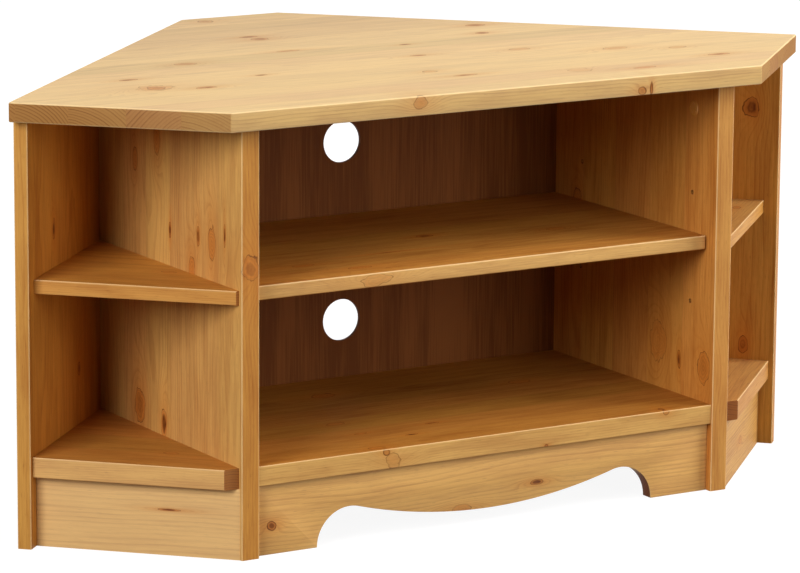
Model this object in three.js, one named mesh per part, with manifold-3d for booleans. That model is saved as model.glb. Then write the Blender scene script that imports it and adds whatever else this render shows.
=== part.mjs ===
// Corner cabinet for a television, in solid pine: a six-sided top on two dividers and two wall panels.
// It has fixed and adjustable shelves, plinths and a thin back. Millimetres, +Z up, the room's corner at +Y.
import * as THREE from 'three';
import Module from 'manifold-3d';
import { mergeVertices } from 'three/addons/utils/BufferGeometryUtils.js';

const wasm = await Module();
wasm.setup();

// Driving dimensions. Plan places count back from the top's front edge, heights from the floor.
const height = 500;
const bayWidth = 600;
const sideEdge = 250;
const rearEdge = 134;
const cornerOverhang = 23;
const topThickness = 22;
const dividerThickness = 22;
const wallThickness = 16;
const bottomThickness = 23;
const shelfThickness = 16;
const plinthThickness = 16;
const backThickness = 4;
const plinthHeight = 80;
const shelfTop = 300;
const arris = 1.6;
const seatGap = 0.3;
const cornerTolerance = 0.0001;

// How far each edge lies behind the one before it.
const dividerInset = 20;
const wallInset = 15;
const bottomInset = 2;
const shelfInset = 18;
const sideBottomInset = 6.5;
const sideShelfInset = 17;
const tipInset = 6;
const plinthInset = 9;
const sidePlinthInset = 18;
const backInset = 18.5;

// Apron under the middle bay.
const footWidth = 78;
const coveRadius = 42;
const bellyLift = 17;

// Back panel and the grooves that hold it.
const grooveDepth = 7;
const grooveEndGap = 1;
const cableHole = { diameter: 50, fromPanelEnd: 92 };

// Adjustable shelf and its pins.
const shelfSideGap = 1;
const shelfBackGap = 2;
const pin = {
  diameter: 5, grip: 8, reach: 9, chamfer: 0.8, setback: 31, rearInset: 58, pitch: 64, endGap: 1, clearance: 0.2,
};

// Cam locks, their bolts and caps. The bolt's axis lies boltDepth under the face that the lock is bored from.
const cam = {
  diameter: 15, length: 12, boreDepth: 12.5, fromEdge: 34, clearance: 0.25, slotWidth: 2, slotDepth: 2.5,
};
const bolt = {
  headDiameter: 7, headLength: 3, neckDiameter: 4, neckLength: 5, shankDiameter: 6, threadDiameter: 6,
  threadLength: 11, boltDepth: 8, channelDiameter: 8, clearance: 0.25, pastCentre: 2.5, tipDiameter: 4,
};
const cap = { diameter: 18, rimHeight: 0.6, height: 1.5, crownDiameter: 14 };

// Dowels, screws and glue blocks.
const dowel = { diameter: 8, length: 30, seat: 10, chamfer: 1, endGap: 0.5, clearance: 0.2 };
const screw = { headDiameter: 8, shankDiameter: 4, length: 28, headHeight: 2.4, tipLength: 4, clearance: 0.2 };
const block = { length: 60, width: 20 };

// Where the fittings lie along their joints.
const topJoint = { frontCam: 49, rearCam: 58, frontDowel: 100, rearDowel: 110 };
const wallTopJoint = { frontCam: 60, rearCam: 190, frontDowel: 26, rearDowel: 125 };
const bayJoint = { frontDowel: 120, rearDowel: 110 };
const sideJoint = {
  dividerFront: 90, dividerRear: 190, wallFront: 25, wallRear: 150, wallCam: 75, blockFromWall: 70,
};
const blockSpread = 180;
const wallScrewShares = [0.42, 0.8];

// Roundness of what is turned, drilled or sawn to a curve.
const overrun = 3;
const sides = { cam: 16, bolt: 8, dowel: 10, pin: 12, cap: 24, cable: 40, arris: 3, roundover: 3, cove: 12, belly: 24 };

const pine = { color: '#c9965a', roughness: 0.5, metalness: 0 };
const backBoard = { color: '#7a4522', roughness: 0.6, metalness: 0 };
const steel = { color: '#b9b9b4', roughness: 0.35, metalness: 1 };
const zinc = { color: '#9c9c98', roughness: 0.45, metalness: 1 };
const capPlastic = { color: '#b98a52', roughness: 0.4, metalness: 0 };

// Plan of the carcase, worked out from the driving dimensions.
const diagonal = Math.SQRT1_2;
const bayHalf = bayWidth / 2;
const dividerOuter = bayHalf + dividerThickness;
const frontHalf = dividerOuter + cornerOverhang;
const sideRun = sideEdge * diagonal;
const widthHalf = frontHalf + sideRun;
const depth = sideRun + widthHalf - rearEdge / 2;
const topUnderside = height - topThickness;
const dividerFront = dividerInset;
const dividerRear = sideRun + widthHalf - dividerOuter;
const backFront = dividerRear - backInset;
const centreShelfFront = dividerFront + shelfInset;
const pinColumns = [centreShelfFront + pin.setback, backFront - pin.rearInset];
const pinLevel = shelfTop - shelfThickness - pin.diameter / 2;
const shelfUnderside = shelfTop - shelfThickness;

// Left side bay: front lines run along intoBay, depth grows along alongWall, and the wall is behind the panel.
const alongWall = new THREE.Vector3(diagonal, diagonal, 0);
const intoBay = new THREE.Vector3(diagonal, -diagonal, 0);
const sideCorner = new THREE.Vector3(-widthHalf, sideRun, 0);
const up = new THREE.Vector3(0, 0, 1);
const inward = new THREE.Vector3(1, 0, 0);
const outward = new THREE.Vector3(-1, 0, 0);
const backward = new THREE.Vector3(0, 1, 0);
const down = new THREE.Vector3(0, 0, -1);

// A point of the left side bay: how far from the wall line, how far behind the top's side edge, and its height.
function bayPoint(fromWall, behind, z = 0) {
  return sideCorner.clone().addScaledVector(intoBay, fromWall).addScaledVector(alongWall, behind).setZ(z);
}

// How far behind the side edge a line that keeps one distance from the wall reaches the plane x.
function behindAt(x, fromWall) {
  return (x + widthHalf) / diagonal - fromWall;
}

// How far from the wall a line that keeps one distance behind the side edge reaches the plane x.
function fromWallAt(x, behind) {
  return (x + widthHalf) / diagonal - behind;
}

// Makes a closed surface with shared corners and no empty triangles.
function tidy(geometry) {
  const bare = geometry.clone();
  bare.deleteAttribute('normal');
  bare.deleteAttribute('uv');
  const merged = mergeVertices(bare, cornerTolerance);
  const index = [];
  for (let i = 0; i < merged.index.count; i += 3) {
    const [a, b, c] = [0, 1, 2].map((k) => merged.index.getX(i + k));
    if (a !== b && b !== c && c !== a) index.push(a, b, c);
  }
  merged.setIndex(index);
  return merged;
}

function toSolid(geometry) {
  const surface = tidy(geometry);
  return new wasm.Manifold(new wasm.Mesh({
    numProp: 3,
    vertProperties: new Float32Array(surface.attributes.position.array),
    triVerts: new Uint32Array(surface.index.array),
  }));
}

function toGeometry(solid) {
  const { vertProperties, triVerts } = solid.getMesh();
  const geometry = new THREE.BufferGeometry();
  geometry.setAttribute('position', new THREE.BufferAttribute(new Float32Array(vertProperties), 3));
  geometry.setIndex(Array.from(triVerts));
  return geometry;
}

// A board with its glued dowels added and its holes cut.
function worked(geometry, cuts, studs = []) {
  let solid = toSolid(geometry);
  for (const stud of studs) solid = solid.add(toSolid(stud));
  for (const tool of cuts) solid = solid.subtract(toSolid(tool));
  return toGeometry(solid);
}

function common(first, second) {
  return toGeometry(toSolid(first).intersect(toSolid(second)));
}

// The same shape on the right of the cabinet.
function mirrored(geometry) {
  const copy = tidy(geometry).applyMatrix4(new THREE.Matrix4().makeScale(-1, 1, 1));
  const index = Array.from(copy.index.array);
  for (let i = 0; i < index.length; i += 3) [index[i], index[i + 1]] = [index[i + 1], index[i]];
  copy.setIndex(index);
  return copy;
}

// Stands a shape that was made along +Z at a point, along a direction, turned so that its +X looks along side.
function placed(geometry, at, direction, side) {
  const z = direction.clone().normalize();
  const guide = side ?? (Math.abs(z.z) > diagonal ? backward : up);
  const x = guide.clone().addScaledVector(z, -guide.dot(z)).normalize();
  const y = new THREE.Vector3().crossVectors(z, x);
  return geometry.clone().applyMatrix4(new THREE.Matrix4().makeBasis(x, y, z).setPosition(at));
}

// A turned shape: radius and height pairs from the bottom of the axis to its top.
function turned(profile, count) {
  const points = profile.map(([radius, z]) => new THREE.Vector2(radius, z));
  const upright = new THREE.Matrix4().makeRotationX(Math.PI / 2);
  return tidy(new THREE.LatheGeometry(points, count).applyMatrix4(upright));
}

function rod(diameter, from, to, count) {
  const radius = diameter / 2;
  return turned([[0, from], [radius, from], [radius, to], [0, to]], count);
}

// A drill from just outside a face into the board.
function drill(at, direction, diameter, deep, count) {
  return placed(rod(diameter, -overrun, deep, count), at, direction);
}

// A plan outline whose listed corners are rounded by the arris radius.
function outline(points, softCorners = []) {
  const shape = new THREE.Shape();
  points.forEach((point, i) => {
    const before = points[(i + points.length - 1) % points.length];
    const after = points[(i + 1) % points.length];
    if (softCorners.includes(i)) {
      const start = point.clone().addScaledVector(before.clone().sub(point).normalize(), arris);
      const end = point.clone().addScaledVector(after.clone().sub(point).normalize(), arris);
      if (i === 0) shape.moveTo(start.x, start.y);
      else shape.lineTo(start.x, start.y);
      shape.quadraticCurveTo(point.x, point.y, end.x, end.y);
    } else if (i === 0) shape.moveTo(point.x, point.y);
    else shape.lineTo(point.x, point.y);
  });
  shape.closePath();
  return shape;
}

// A board lying flat with square edges.
function board(points, thickness, z, softCorners) {
  const shape = outline(points, softCorners);
  const options = { depth: thickness, bevelEnabled: false, curveSegments: sides.arris };
  return tidy(new THREE.ExtrudeGeometry(shape, options).translate(0, 0, z));
}

// A board lying flat with every arris eased.
function easedBoard(points, thickness, z) {
  const geometry = new THREE.ExtrudeGeometry(outline(points), {
    depth: thickness - 2 * arris,
    bevelThickness: arris,
    bevelSize: arris,
    bevelOffset: -arris,
    bevelSegments: sides.roundover,
  });
  return tidy(geometry.translate(0, 0, z + arris));
}

// A long board with eased front arrises: its section runs back along rearward and up, its length to the side.
function nosedBoard(start, rearward, length, deep, thickness) {
  const options = { depth: length, bevelEnabled: false, curveSegments: sides.arris };
  const geometry = new THREE.ExtrudeGeometry(outline(rectangle(0, deep, 0, thickness), [0, 3]), options);
  const side = new THREE.Vector3().crossVectors(rearward, up);
  return tidy(geometry.applyMatrix4(new THREE.Matrix4().makeBasis(rearward, up, side).setPosition(start)));
}

function rectangle(x0, x1, y0, y1) {
  return [[x0, y0], [x1, y0], [x1, y1], [x0, y1]].map(([x, y]) => new THREE.Vector2(x, y));
}

// Hardware shapes, made once and then placed.
const dowelShape = turned([
  [0, 0], [dowel.diameter / 2 - dowel.chamfer, 0], [dowel.diameter / 2, dowel.chamfer],
  [dowel.diameter / 2, dowel.length - dowel.chamfer], [dowel.diameter / 2 - dowel.chamfer, dowel.length],
  [0, dowel.length],
], sides.dowel);

const pinShape = turned([
  [0, -pin.grip], [pin.diameter / 2 - pin.chamfer, -pin.grip], [pin.diameter / 2, pin.chamfer - pin.grip],
  [pin.diameter / 2, pin.reach - pin.chamfer], [pin.diameter / 2 - pin.chamfer, pin.reach], [0, pin.reach],
], sides.pin);

const capShape = turned([
  [0, 0], [cap.diameter / 2, 0], [cap.diameter / 2, cap.rimHeight], [cap.crownDiameter / 2, cap.height],
  [0, cap.height],
], sides.cap);

// The bolt's own zero is the centre of the cam lock that pulls it.
const boltShape = turned([
  [0, -bolt.pastCentre], [bolt.headDiameter / 2, -bolt.pastCentre],
  [bolt.headDiameter / 2, bolt.headLength - bolt.pastCentre],
  [bolt.neckDiameter / 2, bolt.headLength - bolt.pastCentre],
  [bolt.neckDiameter / 2, bolt.headLength + bolt.neckLength - bolt.pastCentre],
  [bolt.shankDiameter / 2, bolt.headLength + bolt.neckLength - bolt.pastCentre],
  [bolt.threadDiameter / 2, cam.fromEdge + bolt.threadLength - bolt.tipDiameter / 2],
  [bolt.tipDiameter / 2, cam.fromEdge + bolt.threadLength], [0, cam.fromEdge + bolt.threadLength],
], sides.bolt);

// The lock's face is at zero and its body below it. The bolt comes in along +X into a mouth that is open at the
// side and below, and a slot for the driver crosses the face.
const mouthWidth = bolt.headDiameter + 2 * bolt.clearance;
const mouthHeight = cam.length + overrun + mouthWidth / 2 - bolt.boltDepth;
const mouthLength = cam.diameter + bolt.pastCentre + bolt.clearance;
const mouth = new THREE.BoxGeometry(mouthLength, mouthWidth, mouthHeight)
  .translate(cam.diameter - mouthLength / 2, 0, mouthHeight / 2 - cam.length - overrun);
const slot = new THREE.BoxGeometry(cam.diameter * diagonal, cam.slotWidth, cam.slotDepth * 2);
const camShape = worked(rod(cam.diameter, -cam.length, 0, sides.cam), [mouth, slot]);

const screwShape = turned([
  [0, -screw.length], [screw.shankDiameter / 2, screw.tipLength - screw.length],
  [screw.shankDiameter / 2, -screw.headHeight], [screw.headDiameter / 2, 0], [0, 0],
], sides.bolt);

// The hole for a screw whose head lies flush at the point and whose shank goes along the direction.
function screwHole(at, direction) {
  const radius = screw.shankDiameter / 2 + screw.clearance;
  const headRadius = screw.headDiameter / 2 + screw.clearance;
  const end = -screw.length - screw.clearance;
  const shape = turned([
    [0, end], [radius, end], [radius, -screw.headHeight - screw.clearance],
    [headRadius, -screw.clearance], [headRadius, overrun], [0, overrun],
  ], sides.bolt);
  return placed(shape, at, direction.clone().negate());
}

// Each joint adds its loose pieces here, and to the boards it joins their holes and the dowels glued into them.
const loosePieces = [];
const loose = (name, geometry, finish) => loosePieces.push({ name, geometry, finish });
const holes = { top: [], divider: [], wallPanel: [], centreBottom: [], sideBottom: [] };
const dowels = { divider: [], wallPanel: [], centreBottom: [], sideBottom: [], sideShelf: [] };

// A cam lock bored into a board's face and its bolt, screwed into the neighbour. The edge point lies where the
// bolt's axis crosses the joint, pull points from the lock to the neighbour, and faceSide to the lock's open face.
function camJoint(name, edgePoint, pull, faceSide, boardHoles, neighbourHoles) {
  const centre = edgePoint.clone().addScaledVector(pull, -cam.fromEdge);
  const face = centre.clone().addScaledVector(faceSide, bolt.boltDepth);
  const threadHole = bolt.threadDiameter + 2 * bolt.clearance;
  const boreReach = cam.fromEdge + bolt.pastCentre + cam.clearance;
  loose(`${name}_cam_lock`, placed(camShape, face, faceSide, pull), zinc);
  loose(`${name}_cam_bolt`, placed(boltShape, centre, pull), steel);
  const bore = cam.diameter + 2 * cam.clearance;
  boardHoles.push(drill(face, faceSide.clone().negate(), bore, cam.boreDepth, sides.cam));
  boardHoles.push(drill(edgePoint, pull.clone().negate(), bolt.channelDiameter, boreReach, sides.bolt));
  neighbourHoles.push(drill(edgePoint, pull, threadHole, bolt.threadLength + bolt.clearance, sides.bolt));
}

// A dowel glued into a board's end, and the hole for it in the neighbour that pull points to.
function dowelJoint(edgePoint, pull, boardDowels, neighbourHoles) {
  const wide = dowel.diameter + 2 * dowel.clearance;
  const start = edgePoint.clone().addScaledVector(pull, dowel.seat - dowel.length);
  boardDowels.push(placed(dowelShape, start, pull));
  neighbourHoles.push(drill(edgePoint, pull, wide, dowel.seat + dowel.endGap, sides.dowel));
}

// Top to left divider: cam locks bored from the bay's side, under caps.
for (const [place, y] of [
  ['front', dividerFront + topJoint.frontCam], ['rear', backFront - topJoint.rearCam],
]) {
  const edgePoint = new THREE.Vector3(-bayHalf - bolt.boltDepth, y, topUnderside);
  const capPoint = new THREE.Vector3(-bayHalf, y, topUnderside - cam.fromEdge);
  camJoint(`divider_${place}`, edgePoint, up, inward, holes.divider, holes.top);
  loose(`divider_${place}_cam_cap`, placed(capShape, capPoint, inward), capPlastic);
}
for (const y of [dividerFront + topJoint.frontDowel, backFront - topJoint.rearDowel]) {
  const edgePoint = new THREE.Vector3(-bayHalf - dividerThickness / 2, y, topUnderside);
  dowelJoint(edgePoint, up, dowels.divider, holes.top);
}

// Top to left wall panel: cam locks bored from the wall's side.
const towardsWall = intoBay.clone().negate();
for (const [place, along] of [['front', wallTopJoint.frontCam], ['rear', wallTopJoint.rearCam]]) {
  const edgePoint = bayPoint(bolt.boltDepth, wallInset + along, topUnderside);
  camJoint(`wall_panel_${place}`, edgePoint, up, towardsWall, holes.wallPanel, holes.top);
}
for (const along of [wallTopJoint.frontDowel, wallTopJoint.rearDowel]) {
  dowelJoint(bayPoint(wallThickness / 2, wallInset + along, topUnderside), up, dowels.wallPanel, holes.top);
}

// Middle bottom shelf to left divider: cam locks bored from below.
for (const [place, y] of [['front', pinColumns[0]], ['rear', pinColumns[1]]]) {
  const edgePoint = new THREE.Vector3(-bayHalf, y, plinthHeight + bolt.boltDepth);
  camJoint(`bottom_${place}`, edgePoint, outward, down, holes.centreBottom, holes.divider);
}
for (const y of [dividerFront + bayJoint.frontDowel, backFront - bayJoint.rearDowel]) {
  const edgePoint = new THREE.Vector3(-bayHalf, y, plinthHeight + bottomThickness / 2);
  dowelJoint(edgePoint, outward, dowels.centreBottom, holes.divider);
}

// Left side shelves: dowels into divider and wall panel, and a cam lock from the lower one to the wall panel.
const lowerSideShelf = {
  underside: plinthHeight, thickness: bottomThickness, behind: wallInset + sideBottomInset,
  cuts: holes.sideBottom, studs: dowels.sideBottom,
};
const upperSideShelf = {
  underside: shelfUnderside, thickness: shelfThickness, behind: wallInset + sideShelfInset,
  cuts: [], studs: dowels.sideShelf,
};
for (const { underside, thickness, behind, studs } of [lowerSideShelf, upperSideShelf]) {
  const level = underside + thickness / 2;
  for (const along of [sideJoint.dividerFront, sideJoint.dividerRear]) {
    const edgePoint = new THREE.Vector3(-dividerOuter, dividerFront + along, level);
    dowelJoint(edgePoint, inward, studs, holes.divider);
  }
  for (const along of [sideJoint.wallFront, sideJoint.wallRear]) {
    dowelJoint(bayPoint(wallThickness, behind + along, level), towardsWall, studs, holes.wallPanel);
  }
}
const wallCamBehind = lowerSideShelf.behind + sideJoint.wallCam;
const wallCamPoint = bayPoint(wallThickness, wallCamBehind, plinthHeight + bolt.boltDepth);
camJoint('bottom_wall', wallCamPoint, towardsWall, down, holes.sideBottom, holes.wallPanel);

// Screws through the wall panel's rear edge into the divider, across the middle of the mitre.
const mitreFront = behindAt(-dividerOuter, wallThickness);
const mitreRear = behindAt(-dividerOuter, 0);
for (const [place, share] of [['lower', wallScrewShares[0]], ['upper', wallScrewShares[1]]]) {
  const at = bayPoint(0, (mitreFront + mitreRear) / 2, topUnderside * share);
  const hole = screwHole(at, intoBay);
  loose(`wall_panel_${place}_screw`, placed(screwShape, at, towardsWall), steel);
  holes.wallPanel.push(hole);
  holes.divider.push(hole);
}

// Pins of the adjustable shelf, with spare holes one pitch above and below.
for (const [place, y] of [['front', pinColumns[0]], ['rear', pinColumns[1]]]) {
  for (const step of [-1, 0, 1]) {
    const at = new THREE.Vector3(-bayHalf, y, pinLevel + step * pin.pitch);
    holes.divider.push(drill(at, outward, pin.diameter + 2 * pin.clearance, pin.grip + pin.endGap, sides.pin));
    if (step === 0) loose(`${place}_shelf_pin`, placed(pinShape, at, inward), steel);
  }
}

// Glue blocks in the corner between a plinth's back and the bottom shelf.
const blockBottom = plinthHeight - block.width;
const plinthFront = dividerFront + plinthInset;
const plinthRear = plinthFront + plinthThickness;
function centreBlock(x) {
  const plan = rectangle(x - block.length / 2, x + block.length / 2, plinthRear, plinthRear + block.width);
  return board(plan, block.width, blockBottom);
}
function sideBlock() {
  const near = wallThickness + sideJoint.blockFromWall;
  const front = wallInset + sidePlinthInset + plinthThickness + seatGap;
  const plan = [
    bayPoint(near, front), bayPoint(near + block.length, front),
    bayPoint(near + block.length, front + block.width), bayPoint(near, front + block.width),
  ];
  return board(plan, block.width, blockBottom);
}
loose('center_plinth_block', centreBlock(-blockSpread), pine);
loose('plinth_block', sideBlock(), pine);

function topPanel() {
  const corners = [
    [-frontHalf, 0], [frontHalf, 0], [widthHalf, sideRun], [rearEdge / 2, depth], [-rearEdge / 2, depth],
    [-widthHalf, sideRun],
  ].map(([x, y]) => new THREE.Vector2(x, y));
  return worked(easedBoard(corners, topThickness, topUnderside), [...holes.top, ...holes.top.map(mirrored)]);
}

function divider() {
  const plan = rectangle(-dividerOuter, -bayHalf, dividerFront, dividerRear);
  const groove = board(
    rectangle(-bayHalf - grooveDepth, -bayHalf + overrun, backFront - seatGap, backFront + backThickness + seatGap),
    topUnderside - plinthHeight + overrun, plinthHeight,
  );
  return worked(board(plan, topUnderside, 0, [0, 1]), [groove, ...holes.divider], dowels.divider);
}

function wallPanel() {
  const plan = [
    bayPoint(0, wallInset), bayPoint(wallThickness, wallInset), bayPoint(wallThickness, mitreFront),
    bayPoint(0, mitreRear),
  ].map(({ x, y }) => new THREE.Vector2(x, y));
  return worked(board(plan, topUnderside, 0, [0, 1]), holes.wallPanel, dowels.wallPanel);
}

function centreBottomShelf() {
  const front = dividerFront + bottomInset;
  const start = new THREE.Vector3(-bayHalf, front, plinthHeight);
  const shelf = nosedBoard(start, backward, bayWidth, backFront - front, bottomThickness);
  const bothEnds = (shapes) => [...shapes, ...shapes.map(mirrored)];
  return worked(shelf, bothEnds(holes.centreBottom), bothEnds(dowels.centreBottom));
}

function centreShelf() {
  const side = bayHalf - shelfSideGap;
  const plan = rectangle(-side, side, centreShelfFront, backFront - shelfBackGap);
  return easedBoard(plan, shelfThickness, shelfUnderside);
}

// A side shelf has an eased front edge, a square-cut tip beside the divider and a pointed rear corner.
function sideShelf({ underside, thickness, behind, cuts, studs }) {
  const wallFace = wallThickness + seatGap;
  const tipY = dividerFront + tipInset;
  const tipFromWall = (widthHalf + sideRun - dividerOuter - tipY) * diagonal;
  const frontAtTip = fromWallAt(-tipY - frontHalf + behind / diagonal, behind);
  const plan = [
    bayPoint(wallFace, behind), bayPoint(frontAtTip, behind), new THREE.Vector3(-dividerOuter, tipY, 0),
    bayPoint(wallFace, behindAt(-dividerOuter, wallFace)),
  ].map(({ x, y }) => new THREE.Vector2(x, y));
  const long = nosedBoard(
    bayPoint(wallFace - overrun, behind, underside), alongWall, tipFromWall + overrun, mitreRear, thickness,
  );
  return worked(common(board(plan, thickness, underside), long), cuts, studs);
}

// The apron's lower edge: a cove beside each foot, and a belly arc that runs into both.
function centrePlinth() {
  const coveCentre = bayHalf - footWidth - coveRadius;
  const bellyRadius = (coveCentre ** 2 + bellyLift ** 2 - coveRadius ** 2) / (2 * (coveRadius - bellyLift));
  const bellyCentre = bellyLift + bellyRadius;
  const meet = Math.atan2(bellyCentre, coveCentre);
  const shape = new THREE.Shape();
  const follow = (centreX, centreZ, radius, from, to, steps) => {
    for (let i = 1; i <= steps; i += 1) {
      const angle = from + (to - from) * i / steps;
      shape.lineTo(centreX + radius * Math.cos(angle), centreZ + radius * Math.sin(angle));
    }
  };
  shape.moveTo(-bayHalf, 0);
  shape.lineTo(-coveCentre - coveRadius, 0);
  follow(-coveCentre, 0, coveRadius, Math.PI, meet, sides.cove);
  follow(0, bellyCentre, bellyRadius, meet - Math.PI, -meet, sides.belly);
  follow(coveCentre, 0, coveRadius, Math.PI - meet, 0, sides.cove);
  shape.lineTo(bayHalf, 0);
  shape.lineTo(bayHalf, plinthHeight);
  shape.lineTo(-bayHalf, plinthHeight);
  shape.closePath();
  const flat = new THREE.ExtrudeGeometry(shape, { depth: plinthThickness, bevelEnabled: false });
  const stand = new THREE.Matrix4().makeRotationX(Math.PI / 2).setPosition(0, plinthFront + plinthThickness, 0);
  return tidy(flat.applyMatrix4(stand));
}

function sidePlinth() {
  const wallFace = wallThickness + seatGap;
  const front = wallInset + sidePlinthInset;
  const rear = front + plinthThickness;
  const plan = [
    bayPoint(wallFace, front), bayPoint(fromWallAt(-dividerOuter, front), front),
    bayPoint(fromWallAt(-dividerOuter, rear), rear), bayPoint(wallFace, rear),
  ].map(({ x, y }) => new THREE.Vector2(x, y));
  return board(plan, plinthHeight, 0);
}

// The back stands in the dividers' stopped grooves.
function backPanel() {
  const side = bayHalf + grooveDepth - grooveEndGap;
  const plan = rectangle(-side, side, backFront, backFront + backThickness);
  const panel = board(plan, topUnderside - plinthHeight, plinthHeight);
  const levels = [plinthHeight + cableHole.fromPanelEnd, topUnderside - cableHole.fromPanelEnd];
  return worked(panel, levels.map((z) => {
    const at = new THREE.Vector3(0, backFront, z);
    return drill(at, backward, cableHole.diameter, backThickness + overrun, sides.cable);
  }));
}

const cabinet = new THREE.Group();
cabinet.name = 'corner_tv_cabinet';
const carcase = new THREE.Group();
carcase.position.y = -depth / 2;
cabinet.add(carcase);

function add(name, geometry, finish) {
  const mesh = new THREE.Mesh(tidy(geometry), new THREE.MeshStandardMaterial(finish));
  mesh.geometry.computeVertexNormals();
  mesh.name = name;
  carcase.add(mesh);
}

function addPair(name, geometry, finish) {
  add(`left_${name}`, geometry, finish);
  add(`right_${name}`, mirrored(geometry), finish);
}

add('top_panel', topPanel(), pine);
addPair('divider', divider(), pine);
addPair('wall_panel', wallPanel(), pine);
add('center_bottom_shelf', centreBottomShelf(), pine);
addPair('bottom_shelf', sideShelf(lowerSideShelf), pine);
add('center_shelf', centreShelf(), pine);
addPair('side_shelf', sideShelf(upperSideShelf), pine);
add('center_plinth', centrePlinth(), pine);
addPair('plinth', sidePlinth(), pine);
add('back_panel', backPanel(), backBoard);
add('middle_center_plinth_block', centreBlock(0), pine);
for (const { name, geometry, finish } of loosePieces) addPair(name, geometry, finish);

export default cabinet;
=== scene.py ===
# Looks of the corner television cabinet: knotty lacquered pine, its fittings, the studio and the camera.
import math
import bpy
from mathutils import Matrix, Vector


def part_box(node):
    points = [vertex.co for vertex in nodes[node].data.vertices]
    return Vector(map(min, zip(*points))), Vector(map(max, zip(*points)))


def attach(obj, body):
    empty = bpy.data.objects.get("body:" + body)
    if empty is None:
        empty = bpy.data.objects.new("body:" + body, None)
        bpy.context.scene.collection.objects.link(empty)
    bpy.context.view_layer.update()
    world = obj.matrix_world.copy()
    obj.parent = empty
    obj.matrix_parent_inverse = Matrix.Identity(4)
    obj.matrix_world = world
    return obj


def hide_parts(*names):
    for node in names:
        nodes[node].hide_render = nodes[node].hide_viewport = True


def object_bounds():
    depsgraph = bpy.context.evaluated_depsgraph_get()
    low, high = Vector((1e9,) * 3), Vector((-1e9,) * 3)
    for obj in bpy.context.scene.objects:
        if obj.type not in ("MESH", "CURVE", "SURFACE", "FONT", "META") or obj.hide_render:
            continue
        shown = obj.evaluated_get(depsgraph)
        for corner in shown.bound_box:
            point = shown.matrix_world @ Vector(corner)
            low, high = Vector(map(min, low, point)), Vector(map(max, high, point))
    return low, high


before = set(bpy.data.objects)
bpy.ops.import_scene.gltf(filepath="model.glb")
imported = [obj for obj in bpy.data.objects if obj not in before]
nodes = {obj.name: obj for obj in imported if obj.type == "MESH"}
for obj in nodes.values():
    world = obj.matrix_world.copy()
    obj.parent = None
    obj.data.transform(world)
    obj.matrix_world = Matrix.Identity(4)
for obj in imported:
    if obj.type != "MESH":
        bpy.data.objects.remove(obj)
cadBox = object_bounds()
mm = 0.001
inMillimetres = (1 / mm, 1 / mm, 1 / mm)
print("frame loaded:", len(nodes), "nodes")


def linear(hexColour):
    channels = [int(hexColour[i:i + 2], 16) / 255 for i in (1, 3, 5)]
    return [c / 12.92 if c <= 0.04045 else ((c + 0.055) / 1.055) ** 2.4 for c in channels] + [1.0]


# Fills or links a node's sockets, which are named or counted. A node as a value stands for its first output
# that is in use, because a node also has the outputs of the kinds that it isn't set to.
def fillSockets(tree, node, values):
    for key, value in values.items():
        sockets = [s for s in node.inputs if s.enabled]
        socket = sockets[key] if isinstance(key, int) else next(s for s in sockets if s.name == key)
        if isinstance(value, bpy.types.Node):
            value = next(s for s in value.outputs if s.enabled)
        if isinstance(value, bpy.types.NodeSocket):
            tree.links.new(value, socket)
        else:
            socket.default_value = value


def addNode(tree, kind, inputs=None, **settings):
    node = tree.nodes.new("ShaderNode" + kind)
    for setting, value in settings.items():
        setattr(node, setting, value)
    fillSockets(tree, node, inputs or {})
    return node


# Shorter ways to add the nodes that come up most.
def calc(tree, operation, *values, clamp=False):
    return addNode(tree, "Math", dict(enumerate(values)), operation=operation, use_clamp=clamp)


def vectorCalc(tree, operation, *values):
    return addNode(tree, "VectorMath", dict(enumerate(values)), operation=operation)


def mapped(tree, value, given=(0.0, 1.0), made=(0.0, 1.0), kind="LINEAR"):
    return addNode(tree, "MapRange", {
        "Value": value, "From Min": given[0], "From Max": given[1], "To Min": made[0], "To Max": made[1]},
        interpolation_type=kind)


def smoothed(tree, value, given, made=(0.0, 1.0)):
    return mapped(tree, value, given, made, "SMOOTHSTEP")


def blended(tree, share, first, second, kind="MIX"):
    return addNode(tree, "Mix", {"Factor": share, "A": first, "B": second},
                   data_type="RGBA", blend_type=kind)


def noise(tree, point, detail, roughness=0.5):
    return addNode(tree, "TexNoise", {
        "Vector": point, "Scale": 1.0, "Detail": detail, "Roughness": roughness})


# Noise over a point that is measured more finely or coarsely along each axis.
def grainNoise(tree, point, fineness, detail):
    return noise(tree, vectorCalc(tree, "MULTIPLY", point, fineness), detail)


def newMaterial(name):
    material = bpy.data.materials.new(name)
    material.use_nodes = True
    material.node_tree.nodes.clear()
    return material, material.node_tree


def floats(*names):
    return dict.fromkeys(names, "Float")


def newGroup(name, inputs, outputs):
    group = bpy.data.node_groups.new(name, "ShaderNodeTree")
    for direction, sockets in (("INPUT", inputs), ("OUTPUT", outputs)):
        for socket, kind in sockets.items():
            group.interface.new_socket(socket, in_out=direction, socket_type="NodeSocket" + kind)
    return group, group.nodes.new("NodeGroupInput").outputs


def endGroup(group, results):
    fillSockets(group, group.nodes.new("NodeGroupOutput"), results)


# One knot. It takes what the knots before it made and adds its own: how far it pushes the growth rings
# aside (lift), its heart, its dark rim, the orange wood around it (halo) and its own rings.
knotFigure = {
    "edgeSoftness": 0.14, "leastStrength": 0.2, "rimInside": 1.7, "rimOutside": 0.6, "rimLeast": 0.5,
    "eye": (0.4, 0.85), "haloReach": (2.8, 1.7, 1.7), "push": 1.3, "liftReach": (2.4, 1.5, 1.5),
    "ownRingWidth": 2.3,
}
knotMarks = ("Lift", "Heart", "Rim", "Halo", "Rings")


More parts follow.
